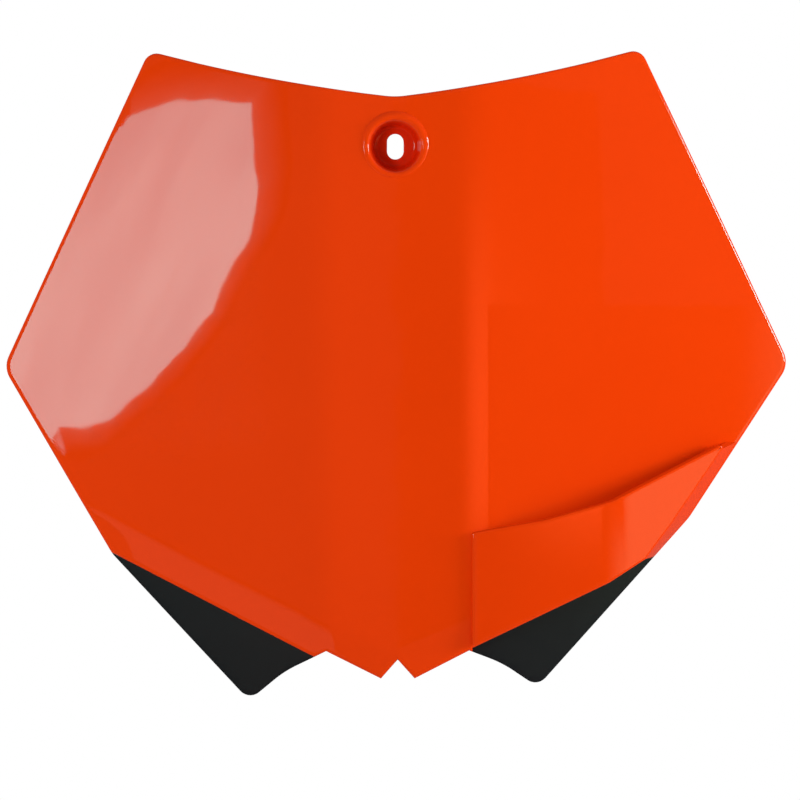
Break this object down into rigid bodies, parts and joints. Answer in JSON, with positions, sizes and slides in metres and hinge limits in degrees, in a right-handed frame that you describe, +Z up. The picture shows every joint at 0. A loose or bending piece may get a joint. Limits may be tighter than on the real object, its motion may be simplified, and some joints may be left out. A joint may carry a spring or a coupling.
{
  "type": "motocross front number board",
  "caption": "Bare curved front number board for a motocross bike, with a dished screw seat, a bridged brake-hose guide and two corners in a second colour.",
  "frame": {"origin": "centre of the screw seat's flat floor, where the screw's collar bears", "axes": "+X to the viewer's right, +Y to the back, towards the bike, +Z up; the numbered face looks along -Y"},
  "size_m": [0.2887, 0.0468, 0.2368],
  "materials": {
    "orange": "gloss",
    "black": "satin"
  },
  "bodies": {
    "root": {"board": "orange", "corner_left": "black", "corner_right": "black", "lug_left": "orange", "lug_right": "orange"}
  },
  "joints": []
}
